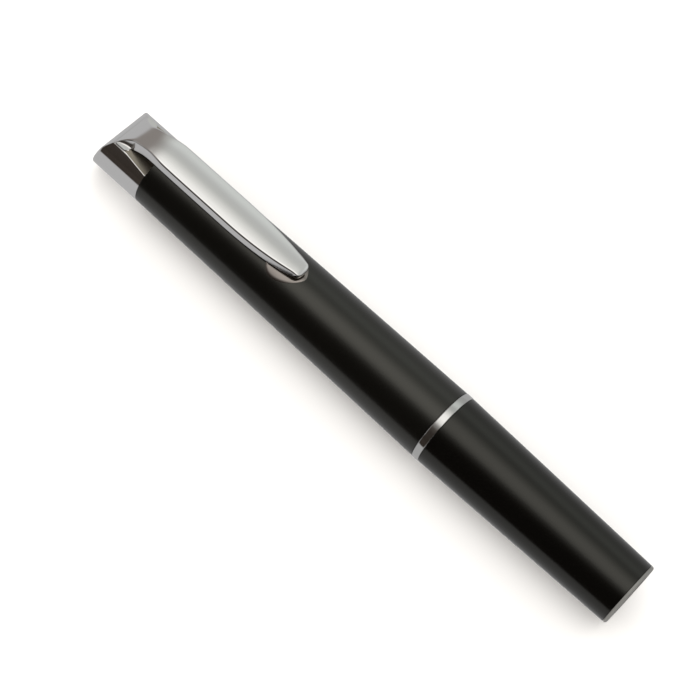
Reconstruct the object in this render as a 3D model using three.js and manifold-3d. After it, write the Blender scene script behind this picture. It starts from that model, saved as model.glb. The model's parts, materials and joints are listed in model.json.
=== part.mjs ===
// Pen-shaped pocket torch with a pocket clip that also works as its press switch.
// It lies along X with the lamp at +X and the clip on top, +Z up, in millimetres.
// Inside the pen group, X runs from the front face of the barrel and the axis is at Z = 0.
import * as THREE from 'three';
import { mergeVertices } from 'three/addons/utils/BufferGeometryUtils.js';
import Module from 'manifold-3d';

const wasm = await Module();
wasm.setup();

// Fits and gaps
const pressFit = 0.05;
const faceGap = 0.05;
const runningGap = 0.15;
const inlayGap = 0.15;
const clipSeamGap = 0.2;
const rivetGap = 0.3;

// Cells, two in line
const cellCount = 2;
const cellRadius = 5.15;
const cellLength = 44.5;
const cellClearance = 0.25;
const cellEdge = 0.3;
const nubRadius = 1.9;
const nubHeight = 1.2;
const washerRadius = 4.3;
const washerThickness = 0.35;
const basePlateRadius = 3.9;
const basePlateThickness = 0.25;
const cellReach = 28.2;

// Screw joint between barrel and head
const sleeveWall = 0.4;
const threadHeight = 0.4;
const threadPitch = 1.0;
const threadRootWidth = 0.45;
const threadCrestWidth = 0.2;
const threadTurns = 3.25;
const threadStart = 0.35;
const sleeveReach = 5.5;
const sleeveGrip = 7.0;
const socketSpace = 0.5;
const socketWall = 0.6;
const sealSection = 0.24;
const sealSetback = 0.75;

// Barrel, trim ring and head
const barrelRearWall = 0.88;
const ringWidth = 1.5;
const ringProud = 0.05;
const ringEdge = 0.15;
const headFrontWall = 0.83;
const moduleRadius = 5.25;
const shoulderRadius = 4.4;
const shoulderThickness = 1.0;
const shoulderGap = 0.6;

// Lamp module, from the cells to the front
const contactHeadRadius = 1.8;
const contactShankRadius = 0.8;
const discThickness = 1.0;
const groundRingLength = 3.6;
const groundRingWall = 0.9;
const boardLedgeLength = 0.75;
const boardLedgeWidth = 0.6;
const boardThickness = 1.0;
const resistorLength = 2.0;
const resistorWidth = 1.25;
const resistorHeight = 0.55;
const resistorOffset = 2.4;
const leadSection = 0.5;
const leadSpacing = 2.54;
const holderThickness = 1.65;
const ledRadius = 2.5;
const ledFlangeRadius = 2.9;
const ledFlangeThickness = 1.0;
const ledLength = 5.9;
const reflectorLength = 4.9;
const reflectorMouth = 4.4;
const reflectorWall = 0.45;
const reflectorFlange = 0.6;
const bezelSkirtLength = 1.7;
const bezelSkirtWall = 0.45;
const bezelLip = 0.6;
const bezelLipOverlap = 0.4;
const bezelSetback = 0.08;
const bezelChamfer = 0.35;
const lensThickness = 0.9;
const gasketWidth = 0.6;

// Tail cap and spring
const capLength = 10.4;
const endRound = 0.5;
const endTilt = THREE.MathUtils.degToRad(14.5);
const plugLength = 4.0;
const plugGap = 0.7;
const insulatorWall = 1.15;
const springRadius = 2.6;
const springWire = 0.35;
const springTurns = 5;
const springClearance = 0.45;
const springSeatDepth = 4.5;
const seatWall = 1.4;
const reliefStep = 0.1;

// Clip
const clipReach = 32.5;
const clipLift = 1.5;
const clipCrown = 0.35;
const clipHalfWidth = 3.0;
const clipRootHalfWidth = 6.8;
const clipWaistHalfWidth = 2.9;
const clipTipHalfWidth = 1.65;
const clipNose = 1.4;
const clipTaperLength = 15.5;
const clipFlareLength = 5.2;
const clipSwellLength = 12.0;
const clipSkirtDepth = 1.55;
const noseLift = 0.5;
const noseLiftLength = 3.0;
const clipWall = 0.65;
const clipCeiling = 0.75;
const rampStartHeight = 2.6;
const rampAngle = THREE.MathUtils.degToRad(60);
const rampRise = 3.0;
const rampLength = 12.4;
const rampShoulder = 5.1;
const seamFront = 5.1;
const underRiseLength = 8.1;
const underRiseBend = 2.2;
const rivetRadius = 0.6;
const rivetSetback = 5.95;
const rivetDepth = 1.8;
const rivetTop = 0.35;
const pipSetback = 3.4;
const pressTravel = 0.4;

// Contact plate let into the barrel under the clip's tip
const plateHalfWidth = 3.5;
const plateRearLength = 2.7;
const plateFrontLength = 4.9;
const plateDepth = 0.5;
const plateSetback = 4.3;

// Facets
const outerFacets = 48;
const innerFacets = 32;
const threadFacets = 24;
const springFacets = 12;
const wireFacets = 4;
const sealFacets = 8;
const curveFacets = 10;
const rimFacets = 4;
const crownFacets = 96;

// Radii that follow from the cells
const boreRadius = cellRadius + cellClearance;
const sleeveRadius = boreRadius + sleeveWall;
const threadCrest = sleeveRadius + threadHeight;
const socketRadius = threadCrest + runningGap;
const socketMinor = sleeveRadius + runningGap;
const barrelFrontRadius = socketRadius + socketWall;
const barrelRearRadius = boreRadius + barrelRearWall;
const ringRadius = barrelFrontRadius + ringProud;
const headFrontRadius = moduleRadius + headFrontWall;
const moduleFit = moduleRadius - pressFit;

// Stations along the pen
const stackLength = cellCount * cellLength + (cellCount - 1) * faceGap;
const stackRear = cellReach - stackLength;
const plugFront = stackRear - plugGap;
const barrelRear = plugFront - plugLength;
const headRear = ringWidth;
const shoulderRear = cellReach - nubHeight + shoulderGap;
const shoulderFront = shoulderRear + shoulderThickness;
const discRear = shoulderFront + faceGap;
const discFront = discRear + discThickness;
const groundRingRear = discFront + faceGap;
const groundRingFront = groundRingRear + groundRingLength;
const boardRear = groundRingRear + boardLedgeLength + faceGap;
const boardFront = boardRear + boardThickness;
const holderRear = groundRingFront + faceGap;
const holderFront = holderRear + holderThickness;
const reflectorRear = holderFront + faceGap;
const reflectorFront = reflectorRear + reflectorLength;
const skirtRear = reflectorFront + faceGap;
const headFront = skirtRear + bezelSkirtLength;
const lampFront = headFront + bezelLip;
const capFront = barrelRear - faceGap;
const endCentre = barrelRear - capLength;

// Tail heights above the axis
const plugRadius = boreRadius - 2 * pressFit - insulatorWall;
const capBore = springRadius + springWire + springClearance;
const seatHeight = capBore + seatWall;
const reliefHeight = plugRadius + reliefStep;
const clipTop = barrelFrontRadius + clipLift + clipCrown;
const clipBottom = clipTop - clipCrown - clipSkirtDepth;
const clipTip = barrelRear + clipReach;

// Room that cutting shapes reach past what they cut
const cutRoom = 1;
const far = 40;

// Radius of the barrel's outside at a station
function barrelRadiusAt(x) {
  return THREE.MathUtils.mapLinear(x, barrelRear, 0, barrelRearRadius, barrelFrontRadius);
}

// Vertices and triangles of a geometry, with shared vertices merged and faces pointing out
function meshData(geometry) {
  const bare = geometry.clone();
  bare.deleteAttribute('normal');
  bare.deleteAttribute('uv');
  const merged = mergeVertices(bare, 1e-4);
  const vertices = Float32Array.from(merged.attributes.position.array);
  const index = merged.index.array;
  const triangles = [];
  let volume = 0;
  for (let i = 0; i < index.length; i += 3) {
    const [a, b, c] = [index[i], index[i + 1], index[i + 2]];
    if (a === b || b === c || c === a) continue;
    triangles.push(a, b, c);
    const pa = new THREE.Vector3().fromArray(vertices, 3 * a);
    const pb = new THREE.Vector3().fromArray(vertices, 3 * b);
    const pc = new THREE.Vector3().fromArray(vertices, 3 * c);
    volume += pa.dot(pb.cross(pc));
  }
  if (volume < 0) triangles.reverse();
  return { vertices, triangles: Uint32Array.from(triangles) };
}

function manifoldOf(geometry) {
  const { vertices, triangles } = meshData(geometry);
  return new wasm.Manifold(new wasm.Mesh({ numProp: 3, vertProperties: vertices, triVerts: triangles }));
}

function geometryFrom(vertices, triangles) {
  const geometry = new THREE.BufferGeometry();
  geometry.setAttribute('position', new THREE.BufferAttribute(vertices, 3));
  geometry.setIndex(new THREE.BufferAttribute(triangles, 1));
  geometry.computeVertexNormals();
  return geometry;
}

function geometryOf(manifold) {
  const mesh = manifold.getMesh();
  return geometryFrom(Float32Array.from(mesh.vertProperties), Uint32Array.from(mesh.triVerts));
}

function clean(geometry) {
  const { vertices, triangles } = meshData(geometry);
  return geometryFrom(vertices, triangles);
}

// Turned shape about the X axis from [x, radius] points, with a flat facet at the bottom.
// A profile that doesn't end on the axis closes on its first point.
function turned(points, facets = outerFacets) {
  const profile = points.map(([x, radius]) => new THREE.Vector2(radius, x));
  const onAxis = points[0][1] === 0 && points[points.length - 1][1] === 0;
  if (!onAxis) profile.push(profile[0].clone());
  const lathe = new THREE.LatheGeometry(profile, facets, Math.PI / facets, 2 * Math.PI);
  return lathe.rotateZ(-Math.PI / 2);
}

function tube(rear, front, inner, outer, facets = outerFacets) {
  return turned([[rear, inner], [rear, outer], [front, outer], [front, inner]], facets);
}

function rod(rear, front, radius, facets = innerFacets) {
  return turned([[rear, 0], [rear, radius], [front, radius], [front, 0]], facets);
}

function extruded(shape, depth) {
  return new THREE.ExtrudeGeometry(shape, { depth, bevelEnabled: false, curveSegments: curveFacets });
}

// Solid of a side view drawn in X and Z, reaching the same way to both sides of the middle plane
function fromSide(shape, halfWidth) {
  return extruded(shape, 2 * halfWidth).rotateX(Math.PI / 2).translate(0, halfWidth, 0);
}

// Solid of a plan drawn in X and Y, standing between two heights
function fromAbove(shape, low, high) {
  return extruded(shape, high - low).translate(0, 0, low);
}

// Ridge of a screw thread: a trapezium wound about the X axis, base to crest, with flat ends
function threadRidge(baseRadius, crestRadius, start) {
  const steps = Math.round(threadTurns * threadFacets);
  const vertices = [];
  const triangles = [];
  const corners = [
    [-threadRootWidth / 2, baseRadius],
    [-threadCrestWidth / 2, crestRadius],
    [threadCrestWidth / 2, crestRadius],
    [threadRootWidth / 2, baseRadius],
  ];
  for (let i = 0; i <= steps; i += 1) {
    const angle = (2 * Math.PI * i) / threadFacets;
    const middle = start + (threadPitch * i) / threadFacets;
    for (const [offset, radius] of corners) {
      vertices.push(middle + offset, radius * Math.cos(angle), radius * Math.sin(angle));
    }
  }
  for (let i = 0; i < steps; i += 1) {
    for (let k = 0; k < 4; k += 1) {
      const a = 4 * i + k;
      const b = 4 * i + ((k + 1) % 4);
      triangles.push(a, b, a + 4, b, b + 4, a + 4);
    }
  }
  const last = 4 * steps;
  triangles.push(0, 2, 1, 0, 3, 2);
  triangles.push(last, last + 1, last + 2, last, last + 2, last + 3);
  return geometryFrom(Float32Array.from(vertices), Uint32Array.from(triangles));
}

// Centre line of a coil spring about the X axis
class CoilCurve extends THREE.Curve {
  constructor(rear, front, radius, turns) {
    super();
    this.rear = rear;
    this.front = front;
    this.radius = radius;
    this.turns = turns;
  }

  getPoint(t, target = new THREE.Vector3()) {
    const angle = 2 * Math.PI * this.turns * t;
    const x = THREE.MathUtils.lerp(this.rear, this.front, t);
    return target.set(x, this.radius * Math.cos(angle), this.radius * Math.sin(angle));
  }
}

function piece(group, name, geometry, color, roughness, metalness) {
  const material = new THREE.MeshStandardMaterial({ color, roughness, metalness });
  const mesh = new THREE.Mesh(geometry, material);
  mesh.name = name;
  group.add(mesh);
}

const black = 0x17171a;
const chrome = 0xc9c9cb;
const steel = 0xb9babd;
const brass = 0xc8a24e;
const rubber = 0x151515;
const whitePlastic = 0xe8e6e0;

const pen = new THREE.Group();
const tail = new THREE.Group();
const clipGroup = new THREE.Group();
const head = new THREE.Group();
const cells = new THREE.Group();
pen.add(tail, clipGroup, head, cells);

// Plan of the contact plate, an oval that is blunter at the rear
function plateOutline(grow) {
  const middle = clipTip - plateSetback;
  const half = plateHalfWidth + grow;
  const shape = new THREE.Shape();
  shape.absellipse(middle, 0, plateFrontLength + grow, half, -Math.PI / 2, Math.PI / 2);
  shape.absellipse(middle, 0, plateRearLength + grow, half, Math.PI / 2, 1.5 * Math.PI);
  return shape;
}

// Skin of the barrel round the contact plate, from a depth below its surface to a height above
function barrelSkin(depth, height) {
  const rear = clipTip - plateSetback - 2 * plateRearLength;
  const front = clipTip - plateSetback + 2 * plateFrontLength;
  return turned([
    [rear, barrelRadiusAt(rear) - depth],
    [rear, barrelRadiusAt(rear) + height],
    [front, barrelRadiusAt(front) + height],
    [front, barrelRadiusAt(front) - depth],
  ]);
}

function makeBarrel() {
  const socketRear = -sleeveReach - socketSpace;
  const body = manifoldOf(turned([
    [barrelRear, boreRadius],
    [barrelRear, barrelRearRadius],
    [0, barrelFrontRadius],
    [0, socketRadius],
    [socketRear, socketRadius],
    [socketRear, boreRadius],
  ]));
  const ridgeBase = socketRadius + socketWall / 4;
  const ridgeStart = threadStart - sleeveReach + threadPitch / 2;
  const ridge = manifoldOf(threadRidge(ridgeBase, socketMinor, ridgeStart));
  const pocketPlan = manifoldOf(fromAbove(plateOutline(inlayGap), 0, far));
  const pocket = manifoldOf(barrelSkin(plateDepth + inlayGap, cutRoom)).intersect(pocketPlan);
  piece(tail, 'barrel_tube', geometryOf(body.subtract(pocket).add(ridge)), black, 0.5, 0.3);

  const platePlan = manifoldOf(fromAbove(plateOutline(0), 0, far));
  const plate = manifoldOf(barrelSkin(plateDepth, 0)).intersect(platePlan);
  piece(tail, 'contact_plate', geometryOf(plate), steel, 0.25, 1);
}

// Line of the ramp and the clip's top, seen from the side, continued behind the slanted end
function rampCurve(shape) {
  const startX = endCentre + rampStartHeight * Math.tan(endTilt);
  const leanX = rampRise / Math.tan(rampAngle);
  const levelX = startX + rampLength;
  shape.moveTo(startX - leanX, rampStartHeight - rampRise);
  shape.lineTo(startX, rampStartHeight);
  shape.bezierCurveTo(
    startX + leanX, rampStartHeight + rampRise,
    startX + rampShoulder, clipTop,
    levelX, clipTop,
  );
}

// Outside of the tail cap: a slanted flat end with a rounded rim
function capForm() {
  const rim = [];
  for (let i = 0; i <= rimFacets; i += 1) {
    const angle = (Math.PI * i) / (2 * rimFacets);
    rim.push([
      endCentre + endRound * (1 - Math.cos(angle)),
      barrelRearRadius - endRound * (1 - Math.sin(angle)),
    ]);
  }
  const front = plugFront + far;
  const form = turned([[endCentre, 0], ...rim, [front, barrelRearRadius], [front, 0]]);
  return form.applyMatrix4(new THREE.Matrix4().makeShear(0, 0, 0, 0, Math.tan(endTilt), 0));
}

function makeTailCap() {
  const blankEnd = endCentre - barrelRearRadius;
  const boreEnd = barrelRear - springSeatDepth;
  const seamFrontX = barrelRear - seamFront;
  const blank = manifoldOf(turned([
    [blankEnd, 0],
    [blankEnd, barrelRearRadius + cutRoom],
    [capFront, barrelRearRadius + cutRoom],
    [capFront, plugRadius],
    [plugFront, plugRadius],
    [plugFront, capBore],
    [boreEnd, capBore],
    [boreEnd, 0],
  ]));
  const aboveRamp = new THREE.Shape();
  rampCurve(aboveRamp);
  aboveRamp.lineTo(barrelRear + plugLength, far);
  aboveRamp.lineTo(blankEnd - far, far);

  const aboveSeat = new THREE.Shape();
  aboveSeat.moveTo(blankEnd - far, seatHeight);
  aboveSeat.lineTo(seamFrontX, seatHeight);
  aboveSeat.lineTo(capFront, reliefHeight);
  aboveSeat.lineTo(plugFront + far, reliefHeight);
  aboveSeat.lineTo(plugFront + far, far);
  aboveSeat.lineTo(blankEnd - far, far);

  const rivetX = barrelRear - rivetSetback;
  const holeDepth = rivetDepth + rivetGap;
  const holeRadius = rivetRadius + rivetGap;
  const hole = new THREE.CylinderGeometry(holeRadius, holeRadius, 2 * holeDepth, innerFacets);
  hole.rotateX(Math.PI / 2).translate(rivetX, 0, seatHeight);

  const cap = [fromSide(aboveRamp, far), fromSide(aboveSeat, far), hole]
    .reduce((solid, cut) => solid.subtract(manifoldOf(cut)), blank.intersect(manifoldOf(capForm())));
  piece(tail, 'tail_cap', geometryOf(cap), chrome, 0.12, 1);

  const insulator = tube(barrelRear + faceGap, plugFront, plugRadius + pressFit, boreRadius - pressFit);
  piece(tail, 'cap_insulator', clean(insulator), whitePlastic, 0.6, 0);
}

function makeSpring() {
  const rear = barrelRear - springSeatDepth + springWire + faceGap;
  const front = stackRear - springWire - faceGap;
  const curve = new CoilCurve(rear, front, springRadius, springTurns);
  const section = new THREE.Shape().absarc(0, 0, springWire, 0, 2 * Math.PI);
  const coil = new THREE.ExtrudeGeometry(section, {
    steps: springTurns * springFacets,
    extrudePath: curve,
    curveSegments: wireFacets,
  });
  piece(tail, 'tail_spring', clean(coil), steel, 0.3, 1);
}

// Half widths of the clip along its length: flared root, waist, swell to the middle, taper to a round nose
function clipPlan(inset) {
  const rootX = barrelRear - capLength;
  const half = clipHalfWidth - inset;
  const waist = clipWaistHalfWidth - inset;
  const root = clipRootHalfWidth - inset;
  const tip = clipTipHalfWidth - inset;
  const noseX = clipTip - inset;
  const flareX = rootX + clipFlareLength;
  const swellX = flareX + clipSwellLength / 2;
  const fullX = flareX + clipSwellLength;
  const taperX = clipTip - clipTaperLength;
  const shape = new THREE.Shape();
  shape.moveTo(rootX, -root);
  shape.quadraticCurveTo(flareX - clipFlareLength / 2, -waist, flareX, -waist);
  shape.bezierCurveTo(swellX, -waist, swellX, -half, fullX, -half);
  shape.lineTo(taperX, -half);
  shape.quadraticCurveTo(clipTip - clipTaperLength / 2, -half, clipTip - clipNose, -tip);
  shape.quadraticCurveTo(noseX, -tip, noseX, 0);
  shape.quadraticCurveTo(noseX, tip, clipTip - clipNose, tip);
  shape.quadraticCurveTo(clipTip - clipTaperLength / 2, half, taperX, half);
  shape.lineTo(fullX, half);
  shape.bezierCurveTo(swellX, half, swellX, waist, flareX, waist);
  shape.quadraticCurveTo(flareX - clipFlareLength / 2, waist, rootX, root);
  return shape;
}

function makeClip() {
  const rootX = barrelRear - capLength - barrelRearRadius;
  const seatX = barrelRear - seamFront;
  const seatZ = seatHeight + clipSeamGap;
  const levelX = seatX + underRiseLength;

  const underTop = new THREE.Shape();
  rampCurve(underTop);
  underTop.lineTo(clipTip + cutRoom, clipTop);
  underTop.lineTo(clipTip + cutRoom, rampStartHeight - rampRise);

  const aboveUnderside = new THREE.Shape();
  aboveUnderside.moveTo(rootX, seatZ);
  aboveUnderside.lineTo(seatX, seatZ);
  aboveUnderside.quadraticCurveTo(seatX + underRiseBend, clipBottom, levelX, clipBottom);
  aboveUnderside.lineTo(clipTip - noseLiftLength, clipBottom);
  aboveUnderside.lineTo(clipTip, clipBottom + noseLift);
  aboveUnderside.lineTo(clipTip + cutRoom, clipBottom + noseLift);
  aboveUnderside.lineTo(clipTip + cutRoom, far);
  aboveUnderside.lineTo(rootX, far);

  const crownRadius = (clipHalfWidth ** 2 + clipCrown ** 2) / (2 * clipCrown);
  const crown = new THREE.CylinderGeometry(crownRadius, crownRadius, 4 * far, crownFacets);
  crown.rotateY(Math.PI / crownFacets).rotateZ(Math.PI / 2);
  crown.translate(clipTip - far, 0, clipTop - crownRadius);

  const channelRear = endCentre + rampStartHeight * Math.tan(endTilt) + rampLength;
  const channelBlock = new THREE.BoxGeometry(far, 2 * clipHalfWidth, clipTop - clipCeiling);
  channelBlock.translate(channelRear + far / 2, 0, (clipTop - clipCeiling) / 2);
  const channel = manifoldOf(channelBlock).intersect(manifoldOf(fromAbove(clipPlan(clipWall), 0, far)));

  const pipX = clipTip - pipSetback;
  const plateTop = barrelRadiusAt(pipX);
  const pipRadius = (clipTop - clipCeiling / 2 - plateTop - pressTravel) / 2;
  const pip = new THREE.SphereGeometry(pipRadius, 2 * curveFacets, curveFacets).rotateX(Math.PI / 2);
  pip.translate(pipX, 0, plateTop + pressTravel + pipRadius);

  const rivetX = barrelRear - rivetSetback;
  const holeRadius = rivetRadius + pressFit;
  const hole = new THREE.CylinderGeometry(holeRadius, holeRadius, 2 * (rivetTop + faceGap), innerFacets);
  hole.rotateX(Math.PI / 2).translate(rivetX, 0, seatZ);

  const body = manifoldOf(fromSide(underTop, far))
    .intersect(manifoldOf(fromSide(aboveUnderside, far)))
    .intersect(manifoldOf(fromAbove(clipPlan(0), 0, far)))
    .intersect(manifoldOf(crown))
    .subtract(channel)
    .add(manifoldOf(pip))
    .subtract(manifoldOf(hole));
  piece(clipGroup, 'clip', geometryOf(body), chrome, 0.15, 1);

  const rivetLength = rivetDepth + clipSeamGap + rivetTop;
  const rivet = new THREE.CylinderGeometry(rivetRadius, rivetRadius, rivetLength, innerFacets);
  rivet.rotateX(Math.PI / 2).translate(rivetX, 0, seatHeight - rivetDepth + rivetLength / 2);
  piece(clipGroup, 'clip_rivet', clean(rivet), steel, 0.3, 1);
}

function makeRing() {
  const inner = sleeveRadius + runningGap;
  const rear = faceGap;
  const front = ringWidth - faceGap;
  piece(head, 'trim_ring', clean(turned([
    [rear, inner],
    [rear, ringRadius - ringEdge],
    [rear + ringEdge, ringRadius],
    [front - ringEdge, ringRadius],
    [front, ringRadius - ringEdge],
    [front, inner],
  ])), chrome, 0.12, 1);

  const sealRadius = (sleeveRadius + socketRadius) / 2;
  const seal = [];
  for (let i = 0; i < sealFacets; i += 1) {
    const angle = (2 * Math.PI * i) / sealFacets;
    seal.push([-sealSetback + sealSection * Math.sin(angle), sealRadius + sealSection * Math.cos(angle)]);
  }
  piece(head, 'seal_ring', clean(turned(seal, innerFacets)), rubber, 0.8, 0);
}

function makeHeadShell() {
  const sleeveFront = headRear + sleeveGrip;
  piece(head, 'head_shell', clean(turned([
    [headRear, sleeveRadius + pressFit],
    [headRear, barrelFrontRadius],
    [headFront, headFrontRadius],
    [headFront, moduleRadius],
    [shoulderFront, moduleRadius],
    [shoulderFront, shoulderRadius],
    [shoulderRear, shoulderRadius],
    [shoulderRear, boreRadius],
    [sleeveFront + faceGap, boreRadius],
    [sleeveFront + faceGap, sleeveRadius + pressFit],
  ])), black, 0.5, 0.3);

  const sleeve = manifoldOf(tube(-sleeveReach, sleeveFront, boreRadius, sleeveRadius));
  const ridgeBase = sleeveRadius - sleeveWall / 4;
  const ridge = manifoldOf(threadRidge(ridgeBase, threadCrest, threadStart - sleeveReach));
  piece(head, 'threaded_sleeve', geometryOf(sleeve.add(ridge)), steel, 0.35, 1);
}

function makeLampModule() {
  piece(head, 'positive_contact', clean(turned([
    [cellReach + faceGap, 0],
    [cellReach + faceGap, contactHeadRadius],
    [discRear, contactHeadRadius],
    [discRear, contactShankRadius],
    [boardRear - faceGap, contactShankRadius],
    [boardRear - faceGap, 0],
  ], innerFacets)), brass, 0.3, 1);
  const disc = tube(discRear, discFront, contactShankRadius + pressFit, moduleFit, innerFacets);
  piece(head, 'contact_disc', clean(disc), whitePlastic, 0.6, 0);

  const ringInner = moduleFit - groundRingWall;
  const ledgeFront = groundRingRear + boardLedgeLength;
  piece(head, 'ground_ring', clean(turned([
    [groundRingRear, ringInner - boardLedgeWidth],
    [groundRingRear, moduleFit],
    [groundRingFront, moduleFit],
    [groundRingFront, ringInner],
    [ledgeFront, ringInner],
    [ledgeFront, ringInner - boardLedgeWidth],
  ], innerFacets)), brass, 0.35, 1);
  piece(head, 'driver_board', clean(rod(boardRear, boardFront, ringInner - pressFit)), 0x1d5a36, 0.5, 0);

  const resistor = new THREE.BoxGeometry(resistorHeight, resistorLength, resistorWidth);
  resistor.translate(boardFront + faceGap + resistorHeight / 2, 0, resistorOffset);
  piece(head, 'board_resistor', clean(resistor), 0x111111, 0.5, 0);

  const flangeRear = holderRear + faceGap;
  const leadLength = flangeRear - boardFront - 2 * faceGap;
  ['led_lead_left', 'led_lead_right'].forEach((name, i) => {
    const side = 2 * i - 1;
    const lead = new THREE.BoxGeometry(leadLength, leadSection, leadSection);
    lead.translate(boardFront + faceGap + leadLength / 2, (side * leadSpacing) / 2, 0);
    piece(head, name, clean(lead), steel, 0.3, 1);
  });

  const flangeFront = flangeRear + ledFlangeThickness;
  piece(head, 'led_holder', clean(turned([
    [holderRear, ledFlangeRadius + pressFit],
    [holderRear, moduleFit],
    [holderFront, moduleFit],
    [holderFront, ledRadius + pressFit],
    [flangeFront + faceGap, ledRadius + pressFit],
    [flangeFront + faceGap, ledFlangeRadius + pressFit],
  ], innerFacets)), whitePlastic, 0.6, 0);

  const ledTip = flangeRear + ledLength;
  const dome = [];
  const domeSteps = 6;
  for (let i = 0; i <= domeSteps; i += 1) {
    const angle = (Math.PI / 2) * (i / domeSteps);
    const radius = i === domeSteps ? 0 : ledRadius * Math.cos(angle);
    dome.push([ledTip - ledRadius + ledRadius * Math.sin(angle), radius]);
  }
  piece(head, 'led', clean(turned([
    [flangeRear, 0],
    [flangeRear, ledFlangeRadius],
    [flangeFront, ledFlangeRadius],
    [flangeFront, ledRadius],
    ...dome,
  ], innerFacets)), 0xf2f4f6, 0.1, 0);

  const throat = ledRadius + runningGap;
  const bowl = [];
  const bowlSteps = 6;
  for (let i = 0; i <= bowlSteps; i += 1) {
    const share = i / bowlSteps;
    const radius = throat + (reflectorMouth - throat) * Math.sqrt(share);
    bowl.push([reflectorRear + reflectorLength * share, radius]);
  }
  const flangeStart = reflectorFront - reflectorFlange;
  const back = bowl.map(([x, radius]) => [x, radius + reflectorWall]).filter(([x]) => x < flangeStart);
  const lastBack = back[back.length - 1];
  piece(head, 'reflector', clean(turned([
    ...back,
    [flangeStart, lastBack[1]],
    [flangeStart, moduleFit],
    [reflectorFront, moduleFit],
    ...bowl.reverse(),
  ], innerFacets)), 0xdedfe2, 0.05, 1);

  const skirtInner = moduleFit - bezelSkirtWall;
  const lensRadius = skirtInner - pressFit;
  const lensFront = headFront - faceGap;
  const lensRear = lensFront - lensThickness;
  const lipOuter = headFrontRadius - bezelSetback;
  piece(head, 'lens_gasket', clean(tube(
    skirtRear, lensRear - faceGap, lensRadius - gasketWidth, lensRadius, innerFacets,
  )), rubber, 0.8, 0);
  piece(head, 'lens', clean(rod(lensRear, lensFront, lensRadius)), 0xe9f0f3, 0.05, 0);
  piece(head, 'lens_bezel', clean(turned([
    [skirtRear, skirtInner],
    [skirtRear, moduleFit],
    [headFront + faceGap, moduleFit],
    [headFront + faceGap, lipOuter],
    [lampFront - bezelChamfer, lipOuter],
    [lampFront, lipOuter - bezelChamfer],
    [lampFront, lensRadius - bezelLipOverlap],
    [headFront, lensRadius - bezelLipOverlap],
    [headFront, skirtInner],
  ])), black, 0.35, 0.6);
}

function makeCells() {
  const canFront = cellLength - nubHeight;
  ['rear', 'front'].forEach((place, i) => {
    const cell = new THREE.Group();
    cell.position.x = stackRear + i * (cellLength + faceGap);
    cells.add(cell);
    piece(cell, `${place}_cell_base`, clean(rod(0, basePlateThickness, basePlateRadius)), steel, 0.3, 1);
    piece(cell, `${place}_cell_can`, clean(turned([
      [basePlateThickness, 0],
      [basePlateThickness, cellRadius - cellEdge],
      [basePlateThickness + cellEdge, cellRadius],
      [canFront - cellEdge, cellRadius],
      [canFront, cellRadius - cellEdge],
      [canFront, 0],
    ], innerFacets)), 0x2f5d8a, 0.4, 0.3);
    const washerFront = canFront + washerThickness;
    const washer = tube(canFront, washerFront, nubRadius + runningGap, washerRadius, innerFacets);
    piece(cell, `${place}_cell_washer`, clean(washer), whitePlastic, 0.7, 0);
    piece(cell, `${place}_cell_nub`, clean(rod(canFront, cellLength, nubRadius)), steel, 0.3, 1);
  });
}

makeBarrel();
makeTailCap();
makeSpring();
makeClip();
makeRing();
makeHeadShell();
makeLampModule();
makeCells();

// The torch's origin is under the middle of its box, on the surface that its ring lies on.
const box = new THREE.Box3().setFromObject(pen, true);
pen.position.set(-(box.min.x + box.max.x) / 2, 0, -box.min.z);

const torch = new THREE.Group();
torch.add(pen);

export default torch;
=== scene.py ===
"""Looks of a pen-shaped pocket torch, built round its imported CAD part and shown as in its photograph."""

import json
import logging
import math
from abc import ABC, abstractmethod
from dataclasses import dataclass, field
from enum import Enum
from functools import cache, cached_property
from typing import ClassVar

import bmesh
import bpy
from mathutils import Matrix, Vector


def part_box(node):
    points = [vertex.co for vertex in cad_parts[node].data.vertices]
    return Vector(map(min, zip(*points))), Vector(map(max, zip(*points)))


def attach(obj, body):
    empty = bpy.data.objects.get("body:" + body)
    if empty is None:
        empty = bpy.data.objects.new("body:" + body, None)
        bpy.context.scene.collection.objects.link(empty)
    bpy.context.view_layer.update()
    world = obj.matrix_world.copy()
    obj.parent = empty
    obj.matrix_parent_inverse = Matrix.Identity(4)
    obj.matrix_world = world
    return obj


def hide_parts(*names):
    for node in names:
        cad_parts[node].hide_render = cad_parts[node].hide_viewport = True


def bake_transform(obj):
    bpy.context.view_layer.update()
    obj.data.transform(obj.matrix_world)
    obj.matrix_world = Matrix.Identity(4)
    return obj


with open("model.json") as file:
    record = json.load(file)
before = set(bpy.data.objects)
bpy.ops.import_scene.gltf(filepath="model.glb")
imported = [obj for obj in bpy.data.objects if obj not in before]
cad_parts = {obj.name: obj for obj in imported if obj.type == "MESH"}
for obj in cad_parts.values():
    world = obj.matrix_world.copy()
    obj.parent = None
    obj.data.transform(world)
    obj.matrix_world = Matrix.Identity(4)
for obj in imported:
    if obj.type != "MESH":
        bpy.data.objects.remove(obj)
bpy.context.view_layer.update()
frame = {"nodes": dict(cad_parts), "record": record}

LOG = logging.getLogger("torch")
MM = 0.001
GRAIN_DETAIL = 3.0
GRAIN_DEPTH = 0.02 * MM
SAME_WAY = 0.999
SEGMENTS = 192
INNER_SEGMENTS = 96
SMALL_SEGMENTS = 64
WELD = 1e-7
CUT_REACH = 1e-8
SMOOTH_ANGLE = math.radians(40)

Pair = tuple[float, float]
Triple = tuple[float, float, float]
Colour = Triple
Mesh = bmesh.types.BMesh
Tree = bpy.types.NodeTree
Socket = bpy.types.NodeSocket
Profile = list[Pair]
AXIS = (1.0, 0.0, 0.0)


class Body(Enum):
    """Bodies of the CAD part that a piece can ride on."""

    BARREL = "barrel"
    CLIP = "clip"
    RING = "ring"
    HEAD = "head"


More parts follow.
